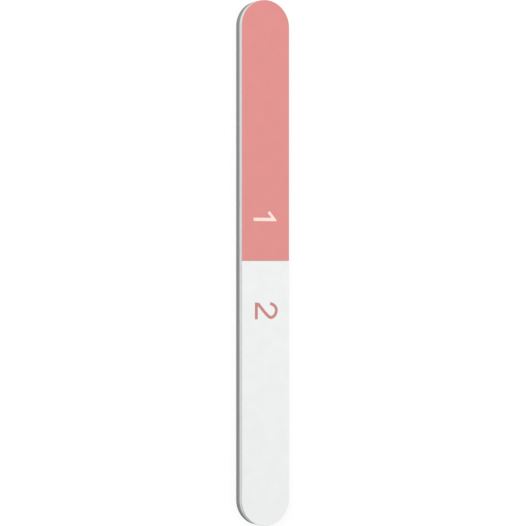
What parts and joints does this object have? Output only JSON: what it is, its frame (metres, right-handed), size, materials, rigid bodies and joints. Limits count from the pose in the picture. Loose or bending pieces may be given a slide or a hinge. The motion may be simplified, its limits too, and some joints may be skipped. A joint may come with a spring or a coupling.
{
  "type": "nail buffer board",
  "caption": "Straight laminated nail buffer board with full-round ends: pink and white polishing sheets on the front, a grey shine sheet on the back, foam pads round a stiff core.",
  "frame": {"origin": "the middle of the back's face, which the board lies on", "axes": "+Z through the board to its numbered front, +Y along it to the end of step 1, +X across it"},
  "size_m": [0.018, 0.18, 0.0048],
  "materials": {
    "shine_coat": "fine matte shining coat",
    "adhesive": "clear acrylic adhesive",
    "grey_foam": "closed-cell EVA foam, cut edge",
    "tape": "double-sided film tape",
    "core_plastic": "extruded polystyrene",
    "white_foam": "closed-cell EVA foam, cut edge",
    "pink_coat": "pink smoothing coat, fine grain",
    "white_coat": "white polishing coat, finer grain"
  },
  "bodies": {
    "root": {"shine_sheet": "shine_coat", "shine_adhesive": "adhesive", "back_foam_pad": "grey_foam", "back_core_tape": "tape", "core_plate": "core_plastic", "front_core_tape": "tape", "front_foam_pad": "white_foam", "step_1_adhesive": "adhesive", "step_2_adhesive": "adhesive", "step_1_sheet": "pink_coat", "step_2_sheet": "white_coat"}
  },
  "joints": []
}
